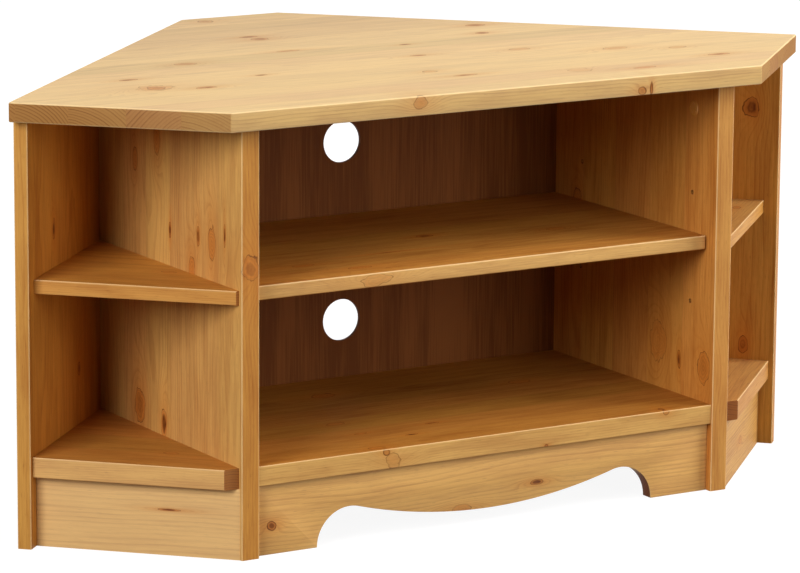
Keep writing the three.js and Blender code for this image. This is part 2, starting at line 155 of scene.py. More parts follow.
def makeKnotGroup():
    group, given = newGroup(
        "pineKnot",
        {"Point": "Vector", "Place": "Vector", "Radii": "Vector",
         **floats("Wobble", "Dark", "Eye", *knotMarks)},
        floats(*knotMarks))
    offset = vectorCalc(group, "SUBTRACT", given["Point"], given["Place"])
    scaled = vectorCalc(group, "DIVIDE", offset, given["Radii"])
    straight = vectorCalc(group, "LENGTH", scaled).outputs["Value"]
    distance = calc(group, "ADD", straight, given["Wobble"])
    inside = smoothed(group, distance, (1 - knotFigure["edgeSoftness"], 1.0), (1.0, 0.0))
    strength = mapped(group, given["Dark"], made=(knotFigure["leastStrength"], 1.0))
    heart = calc(group, "MAXIMUM", calc(group, "MULTIPLY", inside, strength), given["Heart"])

    # The rim is a thin line of even width, sharper on its outer side.
    alongRadius = addNode(group, "SeparateXYZ", {0: given["Radii"]}).outputs["X"]
    fromRim = calc(group, "SUBTRACT", distance, 1.0)
    millimetres = calc(group, "MULTIPLY", fromRim, alongRadius)
    inner = smoothed(group, millimetres, (-knotFigure["rimInside"], 0.0))
    outer = smoothed(group, millimetres, (0.0, knotFigure["rimOutside"]), (1.0, 0.0))
    rimLine = calc(group, "MULTIPLY", inner, outer)
    eyeHere = smoothed(group, distance, knotFigure["eye"], (1.0, 0.0))
    eye = calc(group, "MULTIPLY", eyeHere, given["Eye"])
    rimDark = mapped(group, given["Dark"], made=(knotFigure["rimLeast"], 1.0))
    darkest = calc(group, "MAXIMUM", calc(group, "MULTIPLY", rimLine, rimDark), eye)
    rim = calc(group, "MAXIMUM", darkest, given["Rim"])

    # Falls from 1 in the knot's middle to 1/e at the reach, which is counted in the knot's radii.
    def bell(reach):
        spread = vectorCalc(group, "DIVIDE", scaled, reach)
        squared = vectorCalc(group, "DOT_PRODUCT", spread, spread).outputs["Value"]
        return calc(group, "POWER", math.exp(-1), squared)

    haloHere = calc(group, "MULTIPLY", bell(knotFigure["haloReach"]), strength)
    halo = calc(group, "MAXIMUM", haloHere, given["Halo"])
    height = calc(group, "MULTIPLY", alongRadius, knotFigure["push"])
    lift = calc(group, "MULTIPLY_ADD", bell(knotFigure["liftReach"]), height, given["Lift"])
    turns = calc(group, "MULTIPLY", millimetres, 1 / knotFigure["ownRingWidth"])
    ownRings = calc(group, "MULTIPLY", calc(group, "PINGPONG", turns, 1.0), inside)
    rings = calc(group, "MAXIMUM", ownRings, given["Rings"])
    endGroup(group, {"Lift": lift, "Heart": heart, "Rim": rim, "Halo": halo, "Rings": rings})
    return group


# The wood itself, in millimetres along the grain, across the board and through it. A board is glued up from
# staves, and each stave is cut round a pith of its own: its face shows lines or arches and its end arcs. A
# pair that ends in From is the range of a noise over which its mark comes up, and for the glue the range of
# the way from a stave's middle, as a share of its width. lateRise and lateFall are shares of a ring.
pineFigure = {
    # The whitish colour on the next line, which boards are paled towards, is painted light: the top's sheen.
    "early": "#d4a85b", "late": "#a8722f", "paintedLight": "#ecdab2", "halo": "#c06e20", "heart": "#cc7626",
    "heartRing": "#9c5218", "rim": "#5e2804", "endEarly": "#a0713d", "endLate": "#7b4d25", "pore": "#74431a",
    # The pale arris colour on the next line is mostly a painted highlight, with some real wear.
    "glue": "#a87340", "wearAndHighlight": "#f8dca6",
    "staveWaver": 9.0, "staveDark": 0.93, "staveLight": 1.05, "redHue": 0.493, "yellowHue": 0.5015,
    "pithSideShare": 1.9, "pithDepth": 12.0, "pithSpread": 44.0, "drift": 12.0, "wander": 6.0, "tremble": 0.8,
    "lateRise": (0.42, 0.9), "lateFall": (0.91, 1.0), "ringLeast": 0.2,
    "streakFrom": (0.35, 0.75), "streakStrength": 0.38, "cloudFrom": (0.42, 0.64), "cloudStrength": 0.42,
    "cloudDetail": 4.0, "cloudRoughness": 0.68, "poreFrom": (0.7, 0.8), "poreStrength": 0.4,
    "glueFrom": (0.49, 0.5), "glueStrength": 0.35, "haloStrength": 0.5, "heartStrength": 0.62,
    "rimBreakFrom": (0.38, 0.58), "rimBreakLeast": 0.6, "wearAndHighlightStrength": 0.6,
    "dullFrom": (0.3, 0.7), "dull": (0.5, 0.6), "endDull": 0.1, "ridge": 0.03,
}
# How many cells of noise a millimetre holds: across the board for the waver, along it for the drift, and for
# the others along the grain, across it and through.
pineFineness = {
    "waver": 0.021, "drift": 0.0032, "wander": (0.004, 0.02, 0.02), "tremble": (0.03, 0.16, 0.16),
    "fibre": (0.018, 1.1, 1.1), "pore": (0.09, 1.9, 1.9), "cloud": (0.004, 0.055, 0.055),
    "rim": (0.07, 0.1, 0.1), "wobble": (0.06, 0.1, 0.1),
}
# How far apart the staves and rings lie in the noise, so that each gets a draw of its own.
staveStep, ringStaveStep = 7.3, 31.7


def makePineGroup():
    group, given = newGroup(
        "pineWood",
        {"Point": "Vector", "PaintedLight": "Color", "Tint": "Color",
         **floats("Seed", "Stave", "Ring", "Figure", "End", "WearAndHighlight", "Pale", *knotMarks)},
        {"Colour": "Color", **floats("Roughness", "Height")})
    point, seed = given["Point"], given["Seed"]
    colours = {key: linear(value) for key, value in pineFigure.items() if isinstance(value, str)}
    along, across, through = addNode(group, "SeparateXYZ", {0: point}).outputs

    # Staves of uneven width.
    waver = addNode(group, "TexNoise", {
        "W": calc(group, "MULTIPLY_ADD", across, pineFineness["waver"], seed), "Scale": 1.0, "Detail": 0.0},
        noise_dimensions="1D").outputs["Fac"]
    placeAcross = calc(group, "MULTIPLY_ADD", waver, pineFigure["staveWaver"], across)
    share = calc(group, "DIVIDE", placeAcross, given["Stave"])
    stave = calc(group, "FLOOR", share)
    fromMiddle = calc(group, "SUBTRACT", calc(group, "FRACT", share), 0.5)
    staveKey = addNode(group, "CombineXYZ", {0: stave, 1: seed})
    luck = addNode(group, "TexWhiteNoise", {"Vector": staveKey}, noise_dimensions="3D")
    luckA, luckB, luckC = addNode(group, "SeparateColor", {0: luck.outputs["Color"]}).outputs

    # Growth rings round the stave's pith, which drifts along the board.
    driftKey = addNode(group, "CombineXYZ", {
        0: calc(group, "MULTIPLY", along, pineFineness["drift"]),
        1: calc(group, "MULTIPLY", stave, staveStep), 2: seed})
    drift = noise(group, driftKey, 1.0)
    driftA, driftB = addNode(group, "SeparateColor", {0: drift.outputs["Color"]}).outputs[:2]
    sideShare = calc(group, "SUBTRACT", luckA, 0.5)
    side = calc(group, "MULTIPLY_ADD", sideShare, -pineFigure["pithSideShare"], fromMiddle)
    sideLength = calc(group, "MULTIPLY", side, given["Stave"])
    sideDrift = calc(group, "MULTIPLY_ADD", driftA, pineFigure["drift"], sideLength)
    depth = calc(group, "MULTIPLY_ADD", luckB, pineFigure["pithSpread"], pineFigure["pithDepth"])
    depthDrift = calc(group, "MULTIPLY_ADD", driftB, pineFigure["drift"] * 2, depth)
    depthThrough = calc(group, "ADD", depthDrift, through)
    acrossRings = addNode(group, "CombineXYZ", {0: sideDrift, 1: depthThrough})
    fromPith = vectorCalc(group, "LENGTH", acrossRings).outputs["Value"]
    stretched = vectorCalc(group, "MULTIPLY", point, pineFineness["wander"])
    wander = noise(group, vectorCalc(group, "ADD", stretched, driftKey), 1.0)
    tremble = grainNoise(group, point, pineFineness["tremble"], 2.0)
    wandered = calc(group, "MULTIPLY_ADD", wander, pineFigure["wander"], fromPith)
    trembled = calc(group, "MULTIPLY_ADD", tremble, pineFigure["tremble"], wandered)
    ringCount = calc(group, "DIVIDE", calc(group, "ADD", trembled, given["Lift"]), given["Ring"])
    phase = calc(group, "FRACT", ringCount)
    ringKey = calc(group, "MULTIPLY_ADD", stave, ringStaveStep, calc(group, "FLOOR", ringCount))
    ringLuck = addNode(group, "TexWhiteNoise", {"W": ringKey}, noise_dimensions="1D").outputs["Value"]
    rise = smoothed(group, phase, pineFigure["lateRise"])
    fall = smoothed(group, phase, pineFigure["lateFall"], (1.0, 0.0))
    ringStrength = mapped(group, ringLuck, made=(pineFigure["ringLeast"], 1.0))
    late = calc(group, "MULTIPLY", calc(group, "MULTIPLY", rise, fall), ringStrength)

    # Fibres, short dark pores and slow changes of tone.
    fibre = grainNoise(group, point, pineFineness["fibre"], 3.0)
    pore = mapped(group, grainNoise(group, point, pineFineness["pore"], 0.0), pineFigure["poreFrom"])
    cloudPoint = vectorCalc(group, "MULTIPLY", point, pineFineness["cloud"])
    cloudKey = vectorCalc(group, "ADD", cloudPoint, driftKey)
    cloud = noise(group, cloudKey, pineFigure["cloudDetail"], pineFigure["cloudRoughness"])
    lateShare = calc(group, "MULTIPLY", late, given["Figure"])
    streak = mapped(group, fibre, pineFigure["streakFrom"], (0.0, pineFigure["streakStrength"]))
    cloudShare = mapped(group, cloud, pineFigure["cloudFrom"], (0.0, pineFigure["cloudStrength"]))
    lateCloud = calc(group, "ADD", calc(group, "ADD", lateShare, streak), cloudShare, clamp=True)
    face = blended(group, lateCloud, colours["early"], colours["late"])
    poreShare = calc(group, "MULTIPLY", pore, pineFigure["poreStrength"])
    pored = blended(group, poreShare, face, colours["pore"])
    sawn = blended(group, late, colours["endEarly"], colours["endLate"])
    ended = blended(group, given["End"], pored, sawn)
    tinted = blended(group, 1.0, ended, given["Tint"], "MULTIPLY")
    # Paling towards a whitish colour: painted light, the sheen of the top and brighter light on some boards.
    paled = blended(group, given["Pale"], tinted, given["PaintedLight"])
    tone = mapped(group, luckC, made=(pineFigure["staveDark"], pineFigure["staveLight"]))
    hue = mapped(group, luckA, made=(pineFigure["redHue"], pineFigure["yellowHue"]))
    toned = addNode(group, "HueSaturation", {"Hue": hue, "Value": tone, "Color": paled})
    fromEdge = calc(group, "ABSOLUTE", fromMiddle)
    glue = mapped(group, fromEdge, pineFigure["glueFrom"], (0.0, pineFigure["glueStrength"]))
    glued = blended(group, glue, toned, colours["glue"])

    # Knots over all that. Their rims are darker in some places than in others.
    haloShare = calc(group, "MULTIPLY", given["Halo"], pineFigure["haloStrength"])
    haloed = blended(group, haloShare, glued, colours["halo"])
    heartColour = blended(group, given["Rings"], colours["heart"], colours["heartRing"])
    heartShare = calc(group, "MULTIPLY", given["Heart"], pineFigure["heartStrength"])
    hearted = blended(group, heartShare, haloed, heartColour)
    rimNoise = grainNoise(group, point, pineFineness["rim"], 1.0)
    rimBreaks = mapped(group, rimNoise, pineFigure["rimBreakFrom"], (pineFigure["rimBreakLeast"], 1.0))
    rimmed = blended(group, calc(group, "MULTIPLY", given["Rim"], rimBreaks), hearted, colours["rim"])
    # Pale arrises: mostly a painted highlight where the arris catches the light, with some real wear.
    wearAndHighlightShare = calc(group, "MULTIPLY", given["WearAndHighlight"], pineFigure["wearAndHighlightStrength"])
    wearAndHighlight = blended(group, wearAndHighlightShare, rimmed, colours["wearAndHighlight"])

    dull = mapped(group, fibre, pineFigure["dullFrom"], pineFigure["dull"])
    roughness = calc(group, "MULTIPLY_ADD", given["End"], pineFigure["endDull"], dull)
    ridge = calc(group, "MULTIPLY", late, pineFigure["ridge"])
    fibreRidge = calc(group, "MULTIPLY_ADD", fibre, pineFigure["ridge"], ridge)
    height = calc(group, "MULTIPLY_ADD", pore, -pineFigure["ridge"], fibreRidge)
    endGroup(group, {"Colour": wearAndHighlight, "Roughness": roughness, "Height": height})
    return group


knotGroup = makeKnotGroup()
pineGroup = makePineGroup()

# Which way the boards' grain runs and their width lies. The side bays stand at 45 degrees.
leftRun = Vector((1, -1, 0)).normalized()
rightRun = Vector((-1, -1, 0)).normalized()
leftWall = Vector((1, 1, 0)).normalized()
rightWall = Vector((-1, 1, 0)).normalized()
lengthwise = Vector((1, 0, 0))
backwards = Vector((0, 1, 0))
upright = Vector((0, 0, 1))

# Places are in mm from the board's low end along the grain and from its low side across it. A knot is its
# place along and across the grain, its reach along and across it, how dark its rim is and how dark its eye.
# An edge knot lies in the board's front edge: its second number is its height over the edge's middle line,
# and its fourth its reach up and down. Tint colours a board's faces, edge its edges and endTint its sawn
# ends. Pale and edgePale are how far faces and edges are paled towards a whitish colour, the board's own if
# it
# has one. This paling is painted light: on the top it stands for the sheen of the lacquer in the bright room,
# and on other boards it makes them look more brightly lit. Sheen is the share of the gloss that a board
# keeps, and dull is added to its roughness.
# Several tints paint light and shade: faces inside the bays, such as those of the left wall panel and the
# middle shelves, are darkened as painted shade, the right wall panel's faces are kept lighter as painted
# light, and edge tints make front edges lighter or darker than the faces, partly for their edge grain and
# partly as painted light and shade.
pineBoards = {
    "top_panel": {
        "grain": lengthwise, "across": backwards, "stave": 44.0, "ring": 3.0, "figure": 0.58, "seed": 3.1,
        "pale": 0.5, "edgePale": 0.2, "tint": "#ffffff", "sheen": 0.5, "dull": 0.08,
        "knots": [
            (183.5, 187, 21, 17, 0.1, 0), (183.5, 184, 10, 11, 0.5, 0.2), (183.4, 250, 11, 4.5, 0.4, 0.6),
            (233.3, 163, 13, 6.5, 0.45, 0.5), (294.5, 321, 13, 8, 0.25, 0.2), (462, 448, 12, 9, 0.3, 0.4),
            (458, 469, 12, 5, 0.45, 0.7), (443.7, 352, 14, 4.5, 0.35, 0.2), (473, 604, 10, 9, 0.2, 0.2),
            (664.6, 70, 14, 11, 0.0, 0), (531, 101, 15, 4.5, 0.4, 0.6), (509.7, 142, 9, 7, 0.2, 0),
            (791.8, 189, 16, 9, 0.2, 0.1), (690, 236, 13, 7, 0.2, 0), (873, 93, 13, 5.5, 0.45, 0.5),
            (860, 161, 12, 7, 0.15, 0), (746, 424, 13, 8, 0.45, 0.5), (718, 365, 9, 6, 0.5, 0.6),
            (740, 52, 17, 5.5, 0.3, 0), (330, 210, 7, 3.5, 0.4, 0.7), (590, 330, 8, 3.5, 0.4, 0.7),
            (560, 250, 11, 4.5, 0.35, 0.4)],
        "edgeKnots": [
            (411.7, 3.3, 9.5, 8.5, 0.45, 0.15), (702.7, -5.8, 6, 5.5, 0.7, 0.3),
            (715, -4.7, 2, 8, 0.9, 0.5)]},
    "left_divider": {
        "grain": upright, "across": backwards, "stave": 56.0, "ring": 3.6, "figure": 0.34, "seed": 5.7,
        "pale": 0.06, "tint": "#fff8ea", "edge": "#e9d2aa",
        "knots": [
            (340.3, 163.5, 8, 2.6, 1.0, 1), (344, 98, 11, 4, 0.7, 1), (341.9, 67.3, 19, 8, 0.8, 0),
            (356, 38, 13, 2.4, 0.8, 1), (305, 113, 15, 7, 0.8, 0), (438.9, 194, 17, 8, 0.7, 0),
            (408, 246, 14, 6, 0.6, 0), (116.3, 179.6, 17, 7, 0.75, 1), (126, 237, 20, 12, 1.0, 0.3)],
        "edgeKnots": [(323.6, -0.5, 17, 11.2, 0.6, 0.4)]},
    "right_divider": {
        "grain": upright, "across": backwards, "stave": 70.0, "ring": 3.8, "figure": 0.3, "seed": 8.3,
        "pale": 0.0, "tint": "#fde2c0", "edge": "#f2e4ce",
        "knots": [
            (157, 112, 24, 17, 0.4, 0), (144.2, 69.1, 11, 4, 1.0, 1), (143.5, 19, 19, 12, 0.65, 0.2),
            (300, 290, 12, 9, 0.7, 0)]},
    "left_wall_panel": {
        "grain": upright, "across": leftWall, "stave": 60.0, "ring": 3.6, "figure": 0.34, "seed": 12.9,
        "pale": 0.0, "tint": "#f2d2a0", "edge": "#f3e2c4",
        "knots": [(344, 88, 12, 5, 0.8, 1), (167.4, 172, 8, 5, 1.0, 1)]},
    "right_wall_panel": {
        "grain": upright, "across": rightWall, "stave": 64.0, "ring": 3.6, "figure": 0.34, "seed": 15.2,
        "pale": 0.0, "tint": "#fff2c8", "edge": "#f4dcb6",
        "knots": [(411.5, 34.5, 11.5, 10.5, 0.8, 1), (121.5, 38, 11, 6, 0.9, 0.4)]},
    "center_bottom_shelf": {
        "grain": lengthwise, "across": backwards, "stave": 52.0, "ring": 2.8, "figure": 0.26, "seed": 21.4,
        "pale": 0.0, "edgePale": 0.08, "tint": "#e0c49e", "edge": "#fffaf2", "sheen": 0.3, "dull": 0.2,
        "knots": [
            (185, 77.4, 8, 3, 0.8, 0), (232.5, 46, 8, 2.2, 1.0, 1), (281, 82, 9, 2.4, 1.0, 1),
            (165.7, 11, 10, 5, 0.5, 0), (241, 260, 16, 10, 0.7, 0), (182, 132, 12, 6, 0.5, 0),
            (480, 210, 14, 8, 0.5, 0)],
        "edgeKnots": [
            (182, -3, 11, 10, 0.1, 0), (172, 8, 5, 4, 0.7, 0), (383, -10, 2.5, 2, 0.9, 0),
            (546.9, 10, 5, 4, 0.6, 0)]},
    "center_shelf": {
        "grain": lengthwise, "across": backwards, "stave": 50.0, "ring": 2.8, "figure": 0.26, "seed": 24.8,
        "pale": 0.0, "edgePale": 0.12, "tint": "#ead2b0", "edge": "#fffcf6", "sheen": 0.3, "dull": 0.2,
        "knots": [
            (225.9, 92.6, 30, 2.4, 0.9, 0.7), (313.3, 155, 11, 6, 1.0, 0.7), (103.8, 73, 15, 5, 0.7, 0),
            (155.7, 34.5, 15, 5, 0.8, 0), (470, 120, 12, 7, 0.4, 0)],
        "edgeKnots": [(154.6, 0, 22, 8, 0.2, 0)]},
    "left_bottom_shelf": {
        "grain": leftRun, "across": leftWall, "stave": 60.0, "ring": 2.7, "figure": 0.26, "seed": 31.2,
        "pale": 0.0, "edgePale": 0.12, "tint": "#e6ccaa", "edge": "#fff8ee", "endTint": "#d8b878",
        "knots": [(150, 60, 9, 6, 0.35, 0)]},
    "right_bottom_shelf": {
        "grain": rightRun, "across": rightWall, "stave": 60.0, "ring": 2.7, "figure": 0.26, "seed": 34.6,
        "pale": 0.06, "tint": "#fff2e0", "edge": "#f6e4ca", "endTint": "#cca660",
        "knots": [(110, 90, 9, 6, 0.35, 0)]},
    "left_side_shelf": {
        "grain": leftRun, "across": leftWall, "stave": 58.0, "ring": 2.7, "figure": 0.26, "seed": 37.7,
        "pale": 0.0, "tint": "#fae2ba", "edge": "#fce8ce", "knots": [(140, 80, 9, 5, 0.4, 0)]},
    "right_side_shelf": {
        "grain": rightRun, "across": rightWall, "stave": 58.0, "ring": 2.7, "figure": 0.26, "seed": 41.3,
        "pale": 0.06, "tint": "#fff2e0", "edge": "#fbe8cc", "knots": [(67.4, 23, 9, 5, 0.6, 0)]},
    "center_plinth": {
        "grain": lengthwise, "across": upright, "stave": 170.0, "ring": 3.4, "figure": 0.6, "seed": 45.9,
        "pale": 0.2, "paintedLight": "#f8d698", "tint": "#fff4e0", "endTint": "#9a7448",
        "knots": [(20.5, 32.2, 6, 5.5, 1.0, 0.8), (365.8, 38.7, 9, 3, 0.9, 1), (266.7, 20, 13, 5, 0.35, 0)]},
    "left_plinth": {
        "grain": leftRun, "across": upright, "stave": 170.0, "ring": 4.6, "figure": 0.7, "seed": 49.3,
        "pale": 0.42, "paintedLight": "#f8d698", "tint": "#ffffff", "knots": [(153.4, 51.4, 13, 1.6, 0.8, 1)]},
    "right_plinth": {
        "grain": rightRun, "across": upright, "stave": 170.0, "ring": 3.8, "figure": 0.6, "seed": 52.6,
        "pale": 0.06, "tint": "#f6e4c8", "knots": [(127.4, 33.2, 9, 5, 0.4, 0)]},
}
bareBoard = {
    "grain": lengthwise, "across": backwards, "stave": 70.0, "ring": 2.4, "figure": 0.5, "seed": 61.0,
    "pale": 0.1, "tint": "#ffffff", "knots": []}


def boardPlace(node, grain, across):
    turn = Matrix((grain, across, grain.cross(across)))
    corners = [turn @ vertex.co for vertex in nodes[node].data.vertices]
    low = Vector([min(corner[i] for corner in corners) for i in range(3)])
    high = Vector([max(corner[i] for corner in corners) for i in range(3)])
    low.z = (low.z + high.z) / 2
    return turn, low


# Knotty Scandinavian pine, planed and edge-glued, under a satin honey lacquer: soft sheen, no deep gloss.
# Each pair is a range of the cosine between the surface's normal and an axis: where a sawn end begins, where
# a pale arris leaves the edge, where it reaches the face, and how far down it may look and still be pale. The
# pale arris is mostly a painted highlight of the light that the lacquered arris catches, with some real wear,
# so arrises that look far down, which get little light, are left without it.
pineSurface = {
    "ior": 1.5, "specular": 0.2, "coat": 0.05, "coatRoughness": 0.35, "bump": 0.5, "end": (0.45, 0.75),
    "offEdge": (0.15, 0.4), "offFace": (0.9, 0.985), "highlightNotBelow": (-0.4, -0.1), "knotWobble": 0.45,
}
# Face knots go through the board, edge knots reach this far into it.
throughBoard = 400.0
edgeReach = 30.0


def facingShare(tree, normal, way):
    facing = vectorCalc(tree, "DOT_PRODUCT", normal, way).outputs["Value"]
    return calc(tree, "ABSOLUTE", facing)


def makePine(node, name, board):
    material, tree = newMaterial(name)
    grain, across = board["grain"], board["across"]
    turn, low = boardPlace(node, grain, across)
    coordinates = addNode(tree, "TexCoord").outputs
    normal = coordinates["Normal"]
    point = addNode(tree, "Mapping", {
        "Vector": coordinates["Object"], "Location": -low / mm, "Rotation": turn.to_euler(),
        "Scale": inMillimetres})
    end = mapped(tree, facingShare(tree, normal, grain), pineSurface["end"])
    facingFace = facingShare(tree, normal, grain.cross(across))
    offEdge = mapped(tree, facingFace, pineSurface["offEdge"])
    offFace = mapped(tree, facingFace, pineSurface["offFace"], (1.0, 0.0))
    arris = calc(tree, "MULTIPLY", offEdge, offFace)
    # Which arrises get the painted highlight: those that do not look far down, as those get little light.
    facingUp = addNode(tree, "SeparateXYZ", {0: normal}).outputs["Z"]
    highlightNotBelow = mapped(tree, facingUp, pineSurface["highlightNotBelow"])
    wearAndHighlight = calc(tree, "MULTIPLY", arris, highlightNotBelow)
    # How far faces and edges are paled as painted light; sawn ends are left out.
    sidePale = mapped(tree, facingFace, made=(board.get("edgePale", 0.0), board["pale"]))
    offEnd = calc(tree, "SUBTRACT", 1.0, end)
    pale = calc(tree, "MULTIPLY", sidePale, offEnd)
    # The tints of faces, edges and ends, some of which are painted light and shade.
    faceTint = linear(board["tint"])
    sideTint = blended(tree, facingFace, linear(board.get("edge", board["tint"])), faceTint)
    tint = blended(tree, end, sideTint, linear(board.get("endTint", board["tint"])))
    paintedLight = linear(board.get("paintedLight", pineFigure["paintedLight"]))
    reach = pineSurface["knotWobble"]
    wobble = mapped(tree, grainNoise(tree, point, pineFineness["wobble"], 2.0), made=(-reach, reach))
    marks = dict.fromkeys(knotMarks, 0.0)
    faceKnots = [((u, v, 0), (ru, rv, throughBoard), dark, eye)
                 for u, v, ru, rv, dark, eye in board["knots"]]
    edgeKnots = [((u, -edgeReach / 2, w), (ru, edgeReach, rw), dark, eye)
                 for u, w, ru, rw, dark, eye in board.get("edgeKnots", [])]
    for place, radii, dark, eye in faceKnots + edgeKnots:
        knot = addNode(tree, "Group", {
            "Point": point, "Place": place, "Radii": radii, "Wobble": wobble, "Dark": dark, "Eye": eye,
            **marks}, node_tree=knotGroup)
        marks = {mark: knot.outputs[mark] for mark in marks}
    wood = addNode(tree, "Group", {
        "Point": point, "Seed": board["seed"], "Stave": board["stave"], "Ring": board["ring"],
        "Figure": board["figure"], "End": end, "WearAndHighlight": wearAndHighlight, "Pale": pale, "PaintedLight": paintedLight, "Tint": tint,
        **marks}, node_tree=pineGroup).outputs
    bump = addNode(tree, "Bump", {
        "Height": wood["Height"], "Strength": pineSurface["bump"], "Distance": mm})
    sheen = board.get("sheen", 1.0)
    roughness = calc(tree, "ADD", wood["Roughness"], board.get("dull", 0.0), clamp=True)
    shader = addNode(tree, "BsdfPrincipled", {
        "Base Color": wood["Colour"], "Roughness": roughness, "IOR": pineSurface["ior"],
        "Specular IOR Level": pineSurface["specular"] * sheen, "Coat Weight": pineSurface["coat"] * sheen,
        "Coat Roughness": pineSurface["coatRoughness"], "Normal": bump})
    addNode(tree, "OutputMaterial", {"Surface": shader})
    return material


def dress(piece, material):
    if piece.material_slots:
        piece.material_slots[0].material = material
    else:
        piece.data.materials.append(material)


remodelled = ("top_panel", "center_shelf", "center_plinth")
for node, board in pineBoards.items():
    if node not in remodelled:
        dress(nodes[node], makePine(node, "lacqueredPine." + node, board))
print("pine boards done:", len(pineBoards))

# Glue blocks: the same pine, sawn and left bare.
for node in [name for name in nodes if name.endswith("plinth_block")]:
    dress(nodes[node], makePine(node, "sawnPine." + node, bareBoard))

# Thin back board with a stained veneer: dull red-brown with a fine upright grain.
backSurface = {
    "colour": "#875022", "streak": "#6f3d15", "roughness": 0.55, "specular": 0.12, "ior": 1.5,
    "grain": (0.5, 0.5, 0.012), "band": (0.03, 0.03, 0.003), "streakFrom": (0.85, 1.15), "bump": 0.2,
    "bumpDeep": 0.05,
}


def makeBackBoard():
    material, tree = newMaterial("stainedVeneer")
    coordinates = addNode(tree, "TexCoord").outputs
    point = addNode(tree, "Mapping", {"Vector": coordinates["Object"], "Scale": inMillimetres})
    grain = grainNoise(tree, point, backSurface["grain"], 4.0)
    band = grainNoise(tree, point, backSurface["band"], 2.0)
    share = mapped(tree, calc(tree, "ADD", grain, band), backSurface["streakFrom"])
    colour = blended(tree, share, linear(backSurface["colour"]), linear(backSurface["streak"]))
    bump = addNode(tree, "Bump", {
        "Height": grain, "Strength": backSurface["bump"], "Distance": backSurface["bumpDeep"] * mm})
    shader = addNode(tree, "BsdfPrincipled", {
        "Base Color": colour, "Roughness": backSurface["roughness"], "IOR": backSurface["ior"],
        "Specular IOR Level": backSurface["specular"], "Normal": bump})
    addNode(tree, "OutputMaterial", {"Surface": shader})
    return material


dress(nodes["back_panel"], makeBackBoard())

# Shared steps of modelling by hand. Sides that meet at less than the crease are shaded as one, and vertices
# closer than the weld are joined.
crease = math.radians(35)
weld = 0.01 * mm


def only(piece):
    bpy.ops.object.select_all(action="DESELECT")
    piece.select_set(True)
    bpy.context.view_layer.objects.active = piece


def settle(piece, name):
    piece.name = piece.data.name = name
    only(piece)
    bpy.ops.object.transform_apply(location=True, rotation=True, scale=True)


def applied(piece, kind, **settings):
    modifier = piece.modifiers.new(kind.lower(), kind)
    for setting, value in settings.items():
        setattr(modifier, setting, value)
    only(piece)
    bpy.ops.object.modifier_apply(modifier=modifier.name)


def shadeSmooth(piece):
    only(piece)
    bpy.ops.object.shade_smooth_by_angle(angle=crease)


def easeEdges(piece, width, steps, angle=30):
    applied(piece, "BEVEL", width=width * mm, segments=steps, limit_method="ANGLE",
            angle_limit=math.radians(angle))
    shadeSmooth(piece)


def extrude(step):
    bpy.ops.mesh.extrude_region_move(TRANSFORM_OT_translate={"value": step})


# Ends the work on a mesh in edit mode: double vertices joined, all faces turned outwards.
def closeMesh():
    bpy.ops.mesh.select_all(action="SELECT")
    bpy.ops.mesh.remove_doubles(threshold=weld)
    bpy.ops.mesh.normals_make_consistent(inside=False)
    bpy.ops.object.mode_set(mode="OBJECT")


def cutAway(piece, *tools):
    for tool in tools:
        applied(piece, "BOOLEAN", object=tool, operation="DIFFERENCE", solver="EXACT")
        bpy.data.objects.remove(tool)


def boardBlock(name, low, high):
    bpy.ops.object.select_all(action="DESELECT")
    bpy.ops.mesh.primitive_cube_add(size=1, location=(low + high) / 2)
    block = bpy.context.active_object
    bpy.ops.transform.resize(value=high - low)
    settle(block, name)
    return block


def finishPiece(piece, body, slot, material, *replaced):
    dress(piece, material)
    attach(piece, body)
    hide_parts(*replaced)


# The top: a slab whose four corners are sawn off at 45 degrees and whose arrises are rounded over.
topBoard = {"sideEdge": 250.0, "rearEdge": 134.0, "arris": 1.7, "arrisSteps": 4}


def makeTopBoard():
    low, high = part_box("top_panel")
    bpy.ops.object.select_all(action="DESELECT")
    middle = (low + high) / 2
    bpy.ops.mesh.primitive_plane_add(size=1, location=(middle.x, middle.y, low.z))
    board = bpy.context.active_object
    bpy.ops.transform.resize(value=(high.x - low.x, high.y - low.y, 1))
    settle(board, "top_board")
    bpy.ops.object.mode_set(mode="EDIT")
    sideRun = topBoard["sideEdge"] * mm * math.sqrt(0.5)
    rearHalf = topBoard["rearEdge"] * mm / 2
    for side in (-1, 1):
        for corner, outward in (
                ((side * high.x, low.y + sideRun, low.z), (side, -1, 0)),
                ((side * rearHalf, high.y, low.z), (side, 1, 0))):
            bpy.ops.mesh.select_all(action="SELECT")
            bpy.ops.mesh.bisect(plane_co=corner, plane_no=outward, clear_outer=True)
    bpy.ops.mesh.select_all(action="SELECT")
    extrude((0, 0, high.z - low.z))
    closeMesh()
    easeEdges(board, topBoard["arris"], topBoard["arrisSteps"])
    material = makePine("top_panel", "lacqueredPine.top", pineBoards["top_panel"])
    finishPiece(board, "cabinet", "lacquered_pine", material, "top_panel")


# The adjustable shelf, rounded over all round.
shelfBoard = {"arris": 1.6, "arrisSteps": 4}


def makeShelfBoard():
    board = boardBlock("center_shelf_board", *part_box("center_shelf"))
    easeEdges(board, shelfBoard["arris"], shelfBoard["arrisSteps"])
    material = makePine("center_shelf", "lacqueredPine.shelf", pineBoards["center_shelf"])
    finishPiece(board, "center_shelf", "lacquered_pine", material, "center_shelf")


# The apron: its lower edge is drawn with a pencil line of two coves and a belly arc that touches both, then
# sawn. Only corners sharper than the arris angle are eased.
apronBoard = {"footWidth": 78.0, "coveRadius": 42.0, "bellyLift": 17.0, "coveSteps": 36, "bellySteps": 72,
              "arris": 0.7, "arrisSteps": 2, "arrisAngle": 60}


